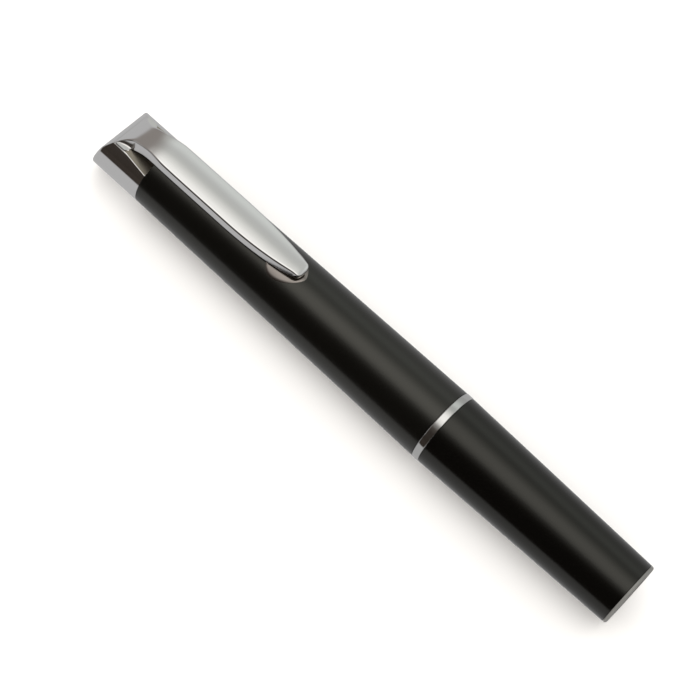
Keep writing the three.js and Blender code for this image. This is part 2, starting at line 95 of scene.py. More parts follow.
class Mix(Enum):
    """Kinds of mixing node: type, then its sockets for the share, both sources and the result."""

    COLOUR = ("ShaderNodeMix", 0, 6, 7, 2)
    SHADER = ("ShaderNodeMixShader", 0, 1, 2, 0)


def remap(tree: Tree, source: Socket, low: float, high: float) -> bpy.types.Node:
    """Turns a range of values into shares from 0 to 1.

    Args:
        tree: The node tree.
        source: The socket with the value.
        low: The value that gives 0.
        high: The value that gives 1.

    Returns:
        The node that gives the share.
    """
    node = tree.nodes.new("ShaderNodeMapRange")
    node.inputs["From Min"].default_value = low
    node.inputs["From Max"].default_value = high
    tree.links.new(source, node.inputs["Value"])
    return node


def mix(tree: Tree, kind: Mix, share: Socket, *sources: Socket | Colour) -> Socket:
    """Mixes two colours or two shaders.

    Args:
        tree: The node tree.
        kind: What is mixed.
        share: The socket with the second source's share.
        sources: The two sources, each a socket or a colour.

    Returns:
        The socket with the mix.
    """
    name, *places, result = kind.value
    node = tree.nodes.new(name)
    if kind is Mix.COLOUR:
        node.data_type = "RGBA"
    for place, source in zip(places, (share, *sources)):
        if isinstance(source, Socket):
            tree.links.new(source, node.inputs[place])
        else:
            node.inputs[place].default_value = (*source, 1.0)
    return node.outputs[result]


@dataclass(frozen=True)
class Finish:
    """A procedural surface: colour, gloss, fine grain and a little unevenness.

    Attributes:
        colour: Base colour, linear.
        roughness: Middle roughness.
        metallic: 1 for bare metal, 0 for paint and plastic.
        spread: How far the roughness varies about its middle.
        grain: Scale of the fine grain, per metre.
        relief: Strength of the grain's bump.
        specular: Level of the reflection at normal view.
        sheen: Tint of that reflection.
        transmission: 1 for clear pieces.
    """

    name: str
    colour: Colour
    roughness: float
    metallic: float = 0.0
    spread: float = 0.03
    grain: float = 4000.0
    relief: float = 0.0
    specular: float = 0.5
    sheen: Colour = (1.0, 1.0, 1.0)
    transmission: float = 0.0

    def material(self) -> bpy.types.Material:
        """Finds the finish's material, or makes it.

        Returns:
            The node material.
        """
        found = bpy.data.materials.get(self.name)
        if found:
            return found
        material = bpy.data.materials.new(self.name)
        material.use_nodes = True
        nodes, links = material.node_tree.nodes, material.node_tree.links
        shader = nodes["Principled BSDF"]
        shader.inputs["Base Color"].default_value = (*self.colour, 1.0)
        shader.inputs["Metallic"].default_value = self.metallic
        shader.inputs["Specular IOR Level"].default_value = self.specular
        shader.inputs["Specular Tint"].default_value = (*self.sheen, 1.0)
        shader.inputs["Transmission Weight"].default_value = self.transmission
        coords = nodes.new("ShaderNodeTexCoord")
        noise = nodes.new("ShaderNodeTexNoise")
        noise.inputs["Scale"].default_value = self.grain
        noise.inputs["Detail"].default_value = GRAIN_DETAIL
        gloss = nodes.new("ShaderNodeMapRange")
        gloss.inputs["To Min"].default_value = self.roughness - self.spread
        gloss.inputs["To Max"].default_value = self.roughness + self.spread
        links.new(coords.outputs["Object"], noise.inputs["Vector"])
        links.new(noise.outputs["Fac"], gloss.inputs["Value"])
        links.new(gloss.outputs["Result"], shader.inputs["Roughness"])
        if self.relief:
            bump = nodes.new("ShaderNodeBump")
            bump.inputs["Strength"].default_value = self.relief
            bump.inputs["Distance"].default_value = GRAIN_DEPTH
            links.new(noise.outputs["Fac"], bump.inputs["Height"])
            links.new(bump.outputs["Normal"], shader.inputs["Normal"])
        return material


WARM_SHEEN = (1.0, 0.98, 0.89)
BLACK_PAINT = {"relief": 0.4, "sheen": WARM_SHEEN}
PLATING = {"metallic": 1.0, "spread": 0.02, "grain": 900.0}
SATIN_BLACK = Finish("satin_black", (0.0009, 0.0009, 0.0007), 0.23, specular=0.74, **BLACK_PAINT)
HEAD_BLACK = Finish("head_black", (0.0005, 0.0005, 0.0004), 0.17, specular=0.59, **BLACK_PAINT)
RIM_METAL = Finish("rim_metal", (0.21, 0.206, 0.195), 0.45, metallic=0.35)
CHROME = Finish("chrome_plate", (0.86, 0.85, 0.84), 0.09, **PLATING)
BARE_STEEL = Finish("bare_contact_steel", (0.30, 0.27, 0.25), 0.2, metallic=1.0, spread=0.05)
# Darker copy of the chrome for faces under the clip, the cap's flats and the clip's underside: painted
# shade.
UNDER_CLIP_PAINTED_SHADE = Finish("under_clip_painted_shade", (0.33, 0.30, 0.25), 0.36, metallic=1.0, spread=0.08)
# The ring's chrome is darker than the cap's to dim its reflections: painted shade.
RING_CHROME_PAINTED_SHADE = Finish("ring_chrome_painted_shade", (0.70, 0.695, 0.68), 0.09, **PLATING)
SATIN_CHROME = Finish("clip_chrome", (0.86, 0.85, 0.84), 0.13, **PLATING)
TURNED_METAL = Finish("turned_metal", (0.72, 0.72, 0.73), 0.28, metallic=1.0, spread=0.06)
SPRING_STEEL = Finish("spring_steel", (0.62, 0.62, 0.63), 0.25, metallic=1.0)
BRASS = Finish("contact_brass", (0.75, 0.55, 0.25), 0.3, metallic=1.0)
WHITE_PLASTIC = Finish("white_plastic", (0.8, 0.79, 0.75), 0.5)
RUBBER = Finish("rubber", (0.012, 0.012, 0.012), 0.7)
CELL_WRAP = Finish("cell_wrap", (0.03, 0.11, 0.25), 0.35, metallic=0.3)
MIRROR = Finish("reflector_plating", (0.9, 0.9, 0.91), 0.05, metallic=1.0, spread=0.01)
CLEAR = Finish("clear_lens", (0.97, 0.98, 0.98), 0.03, spread=0.01, transmission=1.0)
LED_CLEAR = Finish("led_body", (0.9, 0.88, 0.7), 0.15, transmission=0.35)
BOARD = Finish("board_green", (0.015, 0.09, 0.035), 0.4)
MOULDED_BLACK = Finish("moulded_black", (0.01, 0.01, 0.01), 0.35)

SLOT_FINISHES = {
    "black_body": SATIN_BLACK,
    "chrome": CHROME,
    "contact_steel": BARE_STEEL,
    "spring_steel": SPRING_STEEL,
    "sleeve_metal": TURNED_METAL,
    "white_plastic": WHITE_PLASTIC,
    "contact_brass": BRASS,
    "rubber": RUBBER,
    "cell_wrap": CELL_WRAP,
    "cell_steel": SPRING_STEEL,
    "lens_clear": CLEAR,
    "led_clear": LED_CLEAR,
    "reflector": MIRROR,
    "board_green": BOARD,
    "resistor_black": MOULDED_BLACK,
}


@dataclass(frozen=True)
class PenFrame:
    """Place of the pen's own axes in the row frame.

    Attributes:
        front: Row X of the barrel's front face, in metres.
        axis: Row Z of the pen's axis, in metres.
    """

    front: float
    axis: float

    @classmethod
    def from_cad(cls) -> "PenFrame":
        """Reads the axes from the CAD barrel."""
        low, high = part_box("barrel_tube")
        return cls(high.x, (low.z + high.z) / 2)

    def point(self, x: float, y: float, z: float) -> Vector:
        """Turns millimetres from the barrel's front face, aside and up into the row frame."""
        return Vector((self.front + x * MM, y * MM, self.axis + z * MM))

    @cache
    def span(self, node: str) -> Pair:
        """Reads the rear and front stations of a CAD node, in pen millimetres."""
        low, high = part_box(node)
        return (low.x - self.front) / MM, (high.x - self.front) / MM

    def turned(self, profile: Profile, segments: int = SEGMENTS) -> Mesh:
        """Turns a closed profile about the pen's axis.

        Args:
            profile: Stations and radii in millimetres, going round the section.
            segments: Steps of the turn.

        Returns:
            The turned solid.
        """
        mesh = bmesh.new()
        verts = [mesh.verts.new(self.point(x, 0.0, radius)) for x, radius in profile]
        pairs = zip(verts, verts[1:] + verts[:1], profile, profile[1:] + profile[:1])
        edges = [mesh.edges.new((a, b)) for a, b, (_, start), (_, end) in pairs if start or end]
        bmesh.ops.spin(
            mesh,
            geom=verts + edges,
            cent=self.point(0.0, 0.0, 0.0),
            axis=AXIS,
            angle=2 * math.pi,
            steps=segments,
            use_merge=True,
        )
        bmesh.ops.remove_doubles(mesh, verts=mesh.verts, dist=WELD)
        bmesh.ops.dissolve_degenerate(mesh, dist=WELD, edges=mesh.edges)
        bmesh.ops.recalc_face_normals(mesh, faces=mesh.faces)
        return mesh

    def tube(self, ends: Pair, bore: float, radius: float, segments: int = SEGMENTS) -> Mesh:
        """Makes a plain tube between two stations, with its radii in millimetres."""
        rear, front = ends
        return self.turned([(rear, bore), (rear, radius), (front, radius), (front, bore)], segments)


@dataclass(frozen=True)
class Bend:
    """A quadratic or cubic curve drawn from left to right in millimetres."""

    points: tuple[Pair, ...]
    halvings: ClassVar[int] = 40

    def at(self, t: float) -> Pair:
        """Finds a point of the curve.

        Args:
            t: Share of the way, from 0 to 1.

        Returns:
            The point's x and height.
        """
        level = list(self.points)
        while len(level) > 1:
            pairs = zip(level, level[1:])
            level = [(a + (c - a) * t, b + (d - b) * t) for (a, b), (c, d) in pairs]
        return level[0]

    def height(self, x: float) -> float:
        """Finds the curve's height at a station.

        Args:
            x: The station.

        Returns:
            The height there, held level past the ends.
        """
        low, high = 0.0, 1.0
        for _ in range(self.halvings):
            middle = (low + high) / 2
            if self.at(middle)[0] < x:
                low = middle
            else:
                high = middle
        return self.at((low + high) / 2)[1]


def ease(x: float, start: float, end: float) -> float:
    """Rises softly from 0 to 1 between two stations."""
    share = min(1.0, max(0.0, (x - start) / (end - start)))
    return share * share * (3.0 - 2.0 * share)


def quarter(steps: int) -> list[float]:
    """Divides a quarter turn into equal angles, in radians."""
    return [math.pi / 2 * i / steps for i in range(steps + 1)]


def soften(
    mesh: Mesh,
    width: float,
    angle: float = 25.0,
    segments: int = 3,
    facing: Vector | None = None,
    clamp: bool = True,
) -> None:
    """Rounds the edges that are sharper than an angle.

    Args:
        mesh: The solid.
        width: Width of the rounding, in millimetres.
        angle: Least angle of an edge that is rounded, in degrees.
        segments: Steps of the rounding.
        facing: If given, only edges of faces that look this way are rounded.
        clamp: Whether the rounding stays narrower than the faces beside it.
    """
    limit = math.radians(angle)
    mesh.normal_update()
    sharp = [e for e in mesh.edges if len(e.link_faces) == 2 and e.calc_face_angle() > limit]
    if facing:
        sharp = [e for e in sharp if any(f.normal.dot(facing) > SAME_WAY for f in e.link_faces)]
    bmesh.ops.bevel(
        mesh,
        geom=sharp,
        offset=width * MM,
        offset_type="OFFSET",
        affect="EDGES",
        segments=segments,
        profile=0.5,
        clamp_overlap=clamp,
        material=-1,
    )


def store(mesh: Mesh, name: str) -> bpy.types.Mesh:
    """Keeps a shape as mesh data and frees it.

    Args:
        mesh: The shape.
        name: Name of the data.

    Returns:
        The data.
    """
    data = bpy.data.meshes.new(name)
    mesh.to_mesh(data)
    mesh.free()
    return data


def show(name: str, data: bpy.types.ID) -> bpy.types.Object:
    """Puts a mesh, lamp or camera in the scene."""
    thing = bpy.data.objects.new(name, data)
    bpy.context.scene.collection.objects.link(thing)
    return thing


def join(mesh: Mesh, other: Mesh) -> None:
    """Adds a second shape to a first and frees the second."""
    data = store(other, "joined")
    mesh.from_mesh(data)
    bpy.data.meshes.remove(data)


@dataclass
class Piece:
    """One shown object with what it stands for.

    Attributes:
        finishes: Its surfaces, in the order of its faces' material numbers.
        body: The CAD body that it rides on.
        slot: The record's material slot.
        nodes: CAD nodes that it stands for.
        bend: Where a piece that bends leaves the barrel and joins its own body.
    """

    thing: bpy.types.Object
    finishes: tuple[Finish, ...]
    body: Body
    slot: str
    nodes: tuple[str, ...]
    bend: tuple[Vector, Vector] | None = None


@dataclass
class SubAssembly(ABC):
    """A group of pieces that are built and dressed together."""

    pen: PenFrame
    pieces: list[Piece] = field(default_factory=list)

    @cached_property
    def line(self) -> "TailLine":
        """The tail's side view."""
        return TailLine.from_cad(self.pen)

    @abstractmethod
    def build(self) -> None:
        """Makes the shapes of the group's pieces."""

    def add(self, mesh: Mesh, body: Body, slot: str, node: str, *finishes: Finish) -> None:
        """Keeps a finished shape as a piece.

        Args:
            mesh: The shape, in the row frame. It is freed here.
            body: The CAD body that it rides on.
            slot: The record's material slot.
            node: The CAD node that it stands for.
            finishes: Its surfaces, in the order of its faces' material numbers.
        """
        data = store(mesh, f"{node}_look")
        data.shade_smooth()
        data.set_sharp_from_angle(angle=SMOOTH_ANGLE)
        thing = show(data.name, data)
        weighted = thing.modifiers.new("weighted normals", "WEIGHTED_NORMAL")
        weighted.keep_sharp = True
        self.pieces.append(Piece(thing, finishes, body, slot, (node,)))
        LOG.info("built %s with %d faces", thing.name, len(data.polygons))

    def dress(self) -> None:
        """Gives each piece its surface and hides its CAD node. A piece with a bend only has its transform
        baked; any other is tied to its CAD body.
        """
        for piece in self.pieces:
            for finish in piece.finishes:
                piece.thing.data.materials.append(finish.material())
            if piece.bend:
                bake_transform(piece.thing)
            else:
                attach(piece.thing, piece.body.value)
            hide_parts(*piece.nodes)
            LOG.info("dressed %s in %s", piece.thing.name, piece.finishes[0].name)


@dataclass
class Barrel(SubAssembly):
    """Black tapered tube with the bare contact plate let into it. Lengths are in millimetres."""

    rear_radius: float = 6.28
    front_radius: float = 6.95
    bore: float = 5.4
    socket: float = 6.35
    socket_depth: float = 6.0
    edge: float = 0.08
    plate_half_width: float = 3.55
    plate_rear_share: float = 0.355
    plate_point: float = 1.35
    plate_proud: float = 0.03
    plate_depth: float = 0.3
    plate_skirt: float = 1.01
    plate_rings: int = 8
    plate_points: int = 96

    def radius(self, x: float) -> float:
        """Finds the barrel's outside radius at a station, in millimetres."""
        rear, front = self.pen.span("barrel_tube")
        share = (x - rear) / (front - rear)
        return self.rear_radius + (self.front_radius - self.rear_radius) * share

    def build(self) -> None:
        """Makes the tube and the plate."""
        rear, front = self.pen.span("barrel_tube")
        step = front - self.socket_depth
        outside = [(rear, self.bore), (rear, self.rear_radius), (front, self.front_radius)]
        inside = [(front, self.socket), (step, self.socket), (step, self.bore)]
        body = self.pen.turned(outside + inside)
        soften(body, self.edge)
        self.add(body, Body.BARREL, "black_body", "barrel_tube", SATIN_BLACK)
        self.add(self.plate(), Body.BARREL, "contact_steel", "contact_plate", BARE_STEEL)

    def plate_place(self, share: float, turn: float, sink: float) -> Vector:
        """Finds a point of the plate.

        Args:
            share: Share of the way from the plate's middle to its edge.
            turn: Direction from the middle, in radians from straight ahead.
            sink: Depth below the plate's face, in millimetres.

        Returns:
            The point in the row frame.
        """
        rear, front = self.pen.span("contact_plate")
        middle = rear + (front - rear) * self.plate_rear_share
        ahead, side = math.cos(turn), math.sin(turn)
        reach, power = (front - middle, self.plate_point) if ahead > 0 else (middle - rear, 1.0)
        x = middle + share * reach * ahead
        y = share * self.plate_half_width * math.copysign(abs(side) ** power, side)
        radius = self.radius(x) + self.plate_proud - sink
        return self.pen.point(x, y, math.sqrt(radius**2 - y**2))

    def plate(self) -> Mesh:
        """Makes the oval plate that follows the barrel's surface.

        Returns:
            The plate, with its edge turned down into the barrel.
        """
        mesh = bmesh.new()
        rings, around = self.plate_rings, self.plate_points
        turns = [2 * math.pi * i / around for i in range(around)]
        levels = [((k + 1) / rings, 0.0) for k in range(rings)]
        levels += [(self.plate_skirt, sink) for sink in (self.plate_proud, self.plate_depth)]
        loops = [
            [mesh.verts.new(self.plate_place(share, turn, sink)) for turn in turns]
            for share, sink in levels
        ]
        hub = mesh.verts.new(self.plate_place(0.0, 0.0, 0.0))
        for i in range(around):
            j = (i + 1) % around
            mesh.faces.new((hub, loops[0][i], loops[0][j]))
            for inner, outer in zip(loops, loops[1:]):
                mesh.faces.new((inner[i], outer[i], outer[j], inner[j]))
        mesh.faces.new(list(reversed(loops[-1])))
        bmesh.ops.recalc_face_normals(mesh, faces=mesh.faces)
        return mesh


@dataclass(frozen=True)
class TailLine:
    """Side view of the ramp on the tail cap and of the clip that goes on from it, in pen millimetres."""

    end_centre: float
    tip: float
    end_tilt: float = math.radians(14.5)
    ramp_start: float = 2.6
    ramp_rise: float = 3.0
    ramp_angle: float = math.radians(60)
    ramp_shoulder: float = 5.1
    ramp_length: float = 12.4
    top: float = 8.8
    bottom: float = 6.9
    nose_lift: float = 0.5
    nose_lift_length: float = 3.0
    arch_shoulder: float = 2.2
    arch_length: float = 8.1
    cap_length: ClassVar[float] = 10.4
    seat: float = 4.8
    seam_gap: float = 0.02
    seam_front: float = -70.65

    @classmethod
    def from_cad(cls, pen: PenFrame) -> "TailLine":
        """Reads the ends of the tail from the CAD barrel and clip."""
        rear, _ = pen.span("barrel_tube")
        _, tip = pen.span("clip")
        return cls(rear - cls.cap_length, tip)

    @property
    def start(self) -> float:
        """Station where the ramp leaves the slanted end."""
        return self.end_centre + self.ramp_start * math.tan(self.end_tilt)

    def ramp(self) -> Bend:
        """Draws the ramp up to the clip's level top.

        Returns:
            The curve.
        """
        lean = self.ramp_rise / math.tan(self.ramp_angle)
        shoulder = (self.start + lean, self.ramp_start + self.ramp_rise)
        level = ((self.start + run, self.top) for run in (self.ramp_shoulder, self.ramp_length))
        return Bend(((self.start, self.ramp_start), shoulder, *level))

    def underside(self, x: float) -> float:
        """Finds the height of the clip's underside, which rises from its seat and again at the nose.

        Args:
            x: The station.

        Returns:
            The height in millimetres.
        """
        seam = (self.seam_front, self.seat + self.seam_gap)
        arch = ((self.seam_front + run, self.bottom) for run in (self.arch_shoulder, self.arch_length))
        nose = max(0.0, 1.0 - (self.tip - x) / self.nose_lift_length)
        return Bend((seam, *arch)).height(x) + self.nose_lift * nose


@dataclass
class TailCap(SubAssembly):
    """Bright cap with a slanted end, a ramp and a flat under the clip. Lengths are in millimetres."""

    radius: float = 6.28
    front: float = -65.6
    relief: float = 4.25
    plug_radius: float = 4.15
    plug_front: float = -61.5
    bore: float = 3.4
    edge: float = 0.08
    end_round: float = 0.5
    end_steps: int = 8
    end_reach: float = 1.5
    brow_round: float = 4.0
    brow_shares: tuple[float, ...] = (0.25, 0.5, 0.75)
    ramp_shares: tuple[float, ...] = (0.02, 0.1, 0.18, 0.26)
    ramp_step: float = 0.01
    plug_overlap: float = 1.0
    level: float = 0.98

    def cut(self, mesh: Mesh, x: float, z: float, normal: Pair) -> None:
        """Cuts away what is in front of a plane and closes the cut.

        Args:
            mesh: The solid.
            x: Station of a point on the plane.
            z: Its height.
            normal: The plane's outward direction along the pen and up.
        """
        cut = bmesh.ops.bisect_plane(
            mesh,
            geom=mesh.verts[:] + mesh.edges[:] + mesh.faces[:],
            dist=CUT_REACH,
            plane_co=self.pen.point(x, 0.0, z),
            plane_no=(normal[0], 0.0, normal[1]),
            clear_outer=True,
        )
        edges = [e for e in cut["geom_cut"] if isinstance(e, bmesh.types.BMEdge)]
        if edges:
            bmesh.ops.edgeloop_fill(mesh, edges=edges)

    def blank(self) -> Mesh:
        """Makes the cap's outside with its slanted end and rounded rim.

        Returns:
            The solid.
        """
        line = self.line
        size = self.end_round
        rim = [
            (line.end_centre + size * (1 - math.cos(turn)), self.radius - size * (1 - math.sin(turn)))
            for turn in quarter(self.end_steps)
        ]
        front = [(self.front, self.radius), (self.front, 0.0)]
        mesh = self.pen.turned([(line.end_centre, 0.0)] + rim + front)
        limit = self.pen.point(line.end_centre + self.end_reach * size, 0.0, 0.0).x
        for vert in mesh.verts:
            if vert.co.x < limit:
                vert.co.x += (vert.co.z - self.pen.axis) * math.tan(line.end_tilt)
        return mesh

    def round_brow(self, mesh: Mesh) -> None:
        """Rounds the edge between the slanted end and the ramp with narrow cuts.

        Args:
            mesh: The cap.
        """
        line = self.line
        first, last = line.end_tilt, math.pi / 2 - line.ramp_angle
        middle, half = (first + last) / 2, (last - first) / 2
        reach = self.brow_round / math.cos(half)
        centre_x = line.start + reach * math.cos(middle)
        centre_z = line.ramp_start - reach * math.sin(middle)
        for share in self.brow_shares:
            turn = first + (last - first) * share
            outward = (-math.cos(turn), math.sin(turn))
            x = centre_x + self.brow_round * outward[0]
            z = centre_z + self.brow_round * outward[1]
            self.cut(mesh, x, z, outward)

    def build(self) -> None:
        """Makes the cap and its plug."""
        line, cap = self.line, self.blank()
        self.round_brow(cap)
        ramp = line.ramp()
        for share in self.ramp_shares:
            x, z = ramp.at(share)
            next_x, next_z = ramp.at(share + self.ramp_step)
            slope = math.atan2(next_z - z, next_x - x)
            self.cut(cap, x, z, (-math.sin(slope), math.cos(slope)))
        self.cut(cap, line.seam_front, line.seat, (0.0, 1.0))
        fall = math.atan2(line.seat - self.relief, self.front - line.seam_front)
        self.cut(cap, line.seam_front, line.seat, (math.sin(fall), math.cos(fall)))
        bmesh.ops.recalc_face_normals(cap, faces=cap.faces)
        for tilt in (0.0, fall):
            facing = Vector((math.sin(tilt), 0.0, math.cos(tilt)))
            soften(cap, self.edge, segments=2, facing=facing, clamp=False)
        cap.normal_update()
        # Upward flats below the seat lie under the clip and take the darker finish, which is painted
        # shade.
        top = self.pen.point(0.0, 0.0, line.seat + self.edge).z
        for face in cap.faces:
            flat = face.normal.z > self.level and face.calc_center_median().z < top
            face.material_index = 1 if flat else 0
        ends = (self.front - self.plug_overlap, self.plug_front)
        join(cap, self.pen.tube(ends, self.bore, self.plug_radius, SMALL_SEGMENTS))
        self.add(cap, Body.BARREL, "chrome", "tail_cap", CHROME, UNDER_CLIP_PAINTED_SHADE)


@dataclass
class Clip(SubAssembly):
    """Bright pocket clip: a crowned channel that rises from the cap's ramp to a round nose.

    Lengths are in millimetres. Shares are of the section's height or half width. The root fades from
    the seam's front, and the draft towards the tip.
    """

    half_width: float = 3.0
    waist_half_width: float = 2.9
    root_half_width: float = 6.8
    tip_half_width: float = 1.65
    nose: float = 1.3
    nose_power: float = 2.8
    nose_floor: float = 1e-4
    nose_drop: float = 0.8
    taper: float = 15.5
    flare: float = 5.2
    swell: float = 12.0
    crown: float = 13.0
    crown_start: float = 2.5
    crown_run: float = 6.0
    fillet: float = 0.42
    fillet_height_share: float = 0.2
    fillet_width_share: float = 0.6
    draft: float = 0.14
    draft_loss: float = 0.5
    draft_fade: Pair = (18.0, 4.0)
    lip: float = 0.15
    lip_inset: float = 0.12
    wall: float = 0.65
    wall_share: float = 0.2
    least_half_width: float = 0.05
    ceiling: float = 8.05
    least_depth: float = 0.01
    root_inset: float = 0.55
    root_inset_share: float = 0.24
    root_fade: Pair = (2.5, 7.5)
    root_clearance: float = 0.02
    top_steps: int = 6
    fillet_steps: int = 5
    ramp_steps: int = 60
    run_steps: int = 48
    nose_steps: int = 12
    search_steps: int = 400
    foot_half_width: float = 4.05
    foot_length: float = 2.6
    foot_round: float = 0.9
    foot_height: float = 0.36
    foot_edge: float = 0.08
    foot_steps: int = 8
    pip_setback: float = 3.4
    pip_height: float = 7.72
    pip_radius: float = 0.7
    underside_limit: float = -0.6
    spring: Pair = (-72.2, -69.0)

    def width(self, x: float) -> float:
        """Finds the clip's half width at a station.

        Args:
            x: The station.

        Returns:
            The half width in millimetres.
        """
        line = self.line
        root = line.end_centre
        waist = root + self.flare
        full = waist + self.swell
        taper = line.tip - self.taper
        nose = line.tip - self.nose
        if x < waist:
            bend = (waist - self.flare / 2, self.waist_half_width)
            shape = ((root, self.root_half_width), bend, (waist, self.waist_half_width))
        elif x < full:
            middle = waist + self.swell / 2
            low, high = self.waist_half_width, self.half_width
            shape = ((waist, low), (middle, low), (middle, high), (full, high))
        elif x < taper:
            return self.half_width
        elif x < nose:
            bend = (line.tip - self.taper / 2, self.half_width)
            shape = ((taper, self.half_width), bend, (nose, self.tip_half_width))
        else:
            left = 1 - ((x - nose) / self.nose) ** self.nose_power
            return self.tip_half_width * max(self.nose_floor, left) ** (1 / self.nose_power)
        return Bend(shape).height(x)

    def section(self, x: float, channel: float) -> Profile:
        """Draws half of the clip's cross section.

        Args:
            x: The station.
            channel: Share of the channel's full depth at this station.

        Returns:
            Points from the middle of the top, round the edge, to the middle of the underside.
        """
        line = self.line
        over = max(0.0, 1.0 - (line.tip - x) / (2 * self.nose_drop))
        top = line.ramp().height(x) - self.nose_drop * (1.0 - math.sqrt(1.0 - min(1.0, over) ** 2))
        low = line.underside(x)
        half = self.width(x)
        height = top - low
        root = 1.0 - ease(x, *(line.seam_front + distance for distance in self.root_fade))
        inset = root * min(self.root_inset, self.root_inset_share * height)
        loss = self.draft_loss * ease(x, *(line.tip - distance for distance in self.draft_fade))
        draft = self.draft * (1.0 - root) * (1.0 - loss)
        fillet = min(self.fillet, self.fillet_height_share * height, self.fillet_width_share * half)
        flat = half - inset - fillet
        bow = min(1.0, max(0.0, (x - line.start - self.crown_start) / self.crown_run))
        across = [flat * k / self.top_steps for k in range(self.top_steps + 1)]
        points = [(y, top - bow * y**2 / (2 * self.crown)) for y in across]
        edge = points[-1][1]
        for turn in quarter(self.fillet_steps)[1:]:
            points.append((flat + fillet * math.sin(turn), edge - fillet * (1 - math.cos(turn))))
        skirt = half + draft * max(0.0, edge - fillet - low)
        inner = min(max(self.least_half_width, half - self.wall), skirt - self.wall_share * half)
        roof = low + max(self.least_depth, channel * (self.ceiling - low))
        points += [
            (skirt, low + self.lip * min(1.0, height)),
            (skirt - self.lip_inset, low),
            (inner, low),
            (inner, roof),
            (0.0, roof),
        ]
        return points

    def stations(self) -> Profile:
        """Lists the stations of the cross sections and the channel's share of depth at each.

        Returns:
            Pairs of station and share.
        """
        line, ramp = self.line, self.line.ramp()
        clear = line.seat + line.seam_gap + self.root_clearance
        climb = (ramp.at(i / self.search_steps) for i in range(self.search_steps))
        first = next(x for x, z in climb if z > clear)
        level = line.start + line.ramp_length
        wall = line.tip - self.wall
        rising = [first + (level - first) * i / self.ramp_steps for i in range(self.ramp_steps + 1)]
        run = [level + (wall - level) * i / self.run_steps for i in range(1, self.run_steps + 1)]
        turns = quarter(self.nose_steps)[1:]
        nose = [line.tip - self.wall * (1 - math.sin(turn)) for turn in turns]
        return [(x, 0.0) for x in rising] + [(x, 1.0) for x in run] + [(x, 0.0) for x in nose]

    def foot(self) -> Mesh:
        """Makes the thin foot that the clip stands on, which has round front corners.

        Returns:
            The foot.
        """
        mesh, line = bmesh.new(), self.line
        height = line.seat + line.seam_gap + self.foot_height / 2
        middle = self.pen.point(line.seam_front - self.foot_length / 2, 0.0, height)
        size = Vector((self.foot_length, 2 * self.foot_half_width, self.foot_height)) * MM
        bmesh.ops.create_cube(mesh, size=1.0, matrix=Matrix.LocRotScale(middle, None, size))
        front = [e for e in mesh.edges if all(v.co.x > middle.x for v in e.verts)]
        bmesh.ops.bevel(
            mesh,
            geom=[e for e in front if e.verts[0].co.y * e.verts[1].co.y > 0],
            offset=self.foot_round * MM,
            offset_type="OFFSET",
            affect="EDGES",
            segments=self.foot_steps,
            profile=0.5,
            material=-1,
        )
        soften(mesh, self.foot_edge, angle=60.0, segments=1, facing=Vector((0.0, 0.0, 1.0)))
        return mesh

    def build(self) -> None:
        """Makes the clip from its cross sections, with its foot and the contact pip under its tip."""
        line, mesh, loops = self.line, bmesh.new(), []
        for x, channel in self.stations():
            half = self.section(x, channel)
            whole = half + [(-y, z) for y, z in reversed(half[1:-1])]
            loops.append([mesh.verts.new(self.pen.point(x, y, z)) for y, z in whole])
        for near, far in zip(loops, loops[1:]):
            for i in range(len(near)):
                j = (i + 1) % len(near)
                mesh.faces.new((near[i], near[j], far[j], far[i]))
        mesh.faces.new(loops[0])
        mesh.faces.new(list(reversed(loops[-1])))
        join(mesh, self.foot())
        bmesh.ops.recalc_face_normals(mesh, faces=mesh.faces)
        # Faces that look down take the darker finish, which is painted shade under the clip.
        for face in mesh.faces:
            face.material_index = 1 if face.normal.z < self.underside_limit else 0
        place = Matrix.Translation(self.pen.point(line.tip - self.pip_setback, 0.0, self.pip_height))
        radius = self.pip_radius * MM
        bmesh.ops.create_uvsphere(mesh, u_segments=32, v_segments=16, radius=radius, matrix=place)
        self.add(mesh, Body.CLIP, "chrome", "clip", SATIN_CHROME, UNDER_CLIP_PAINTED_SHADE)
        self.pieces[-1].bend = tuple(self.pen.point(x, 0.0, line.seat) for x in self.spring)


@dataclass
class MidRing(SubAssembly):
    """Bright ring between barrel and head, and the seal behind it. Lengths are in millimetres."""

    radius: float = 7.0
    bore: float = 5.95
    edge: float = 0.16
    seal_radius: float = 6.075
    seal_section: float = 0.24
    seal_steps: int = 16

    def build(self) -> None:
        """Makes the ring and the seal."""
        ring = self.pen.tube(self.pen.span("trim_ring"), self.bore, self.radius)
        soften(ring, self.edge)
        self.add(ring, Body.RING, "chrome", "trim_ring", RING_CHROME_PAINTED_SHADE)
        middle, size = sum(self.pen.span("seal_ring")) / 2, self.seal_section
        turns = [2 * math.pi * i / self.seal_steps for i in range(self.seal_steps)]
        round_section = [
            (middle + size * math.sin(turn), self.seal_radius + size * math.cos(turn)) for turn in turns
        ]
        seal = self.pen.turned(round_section, INNER_SEGMENTS)
        self.add(seal, Body.RING, "rubber", "seal_ring", RUBBER)


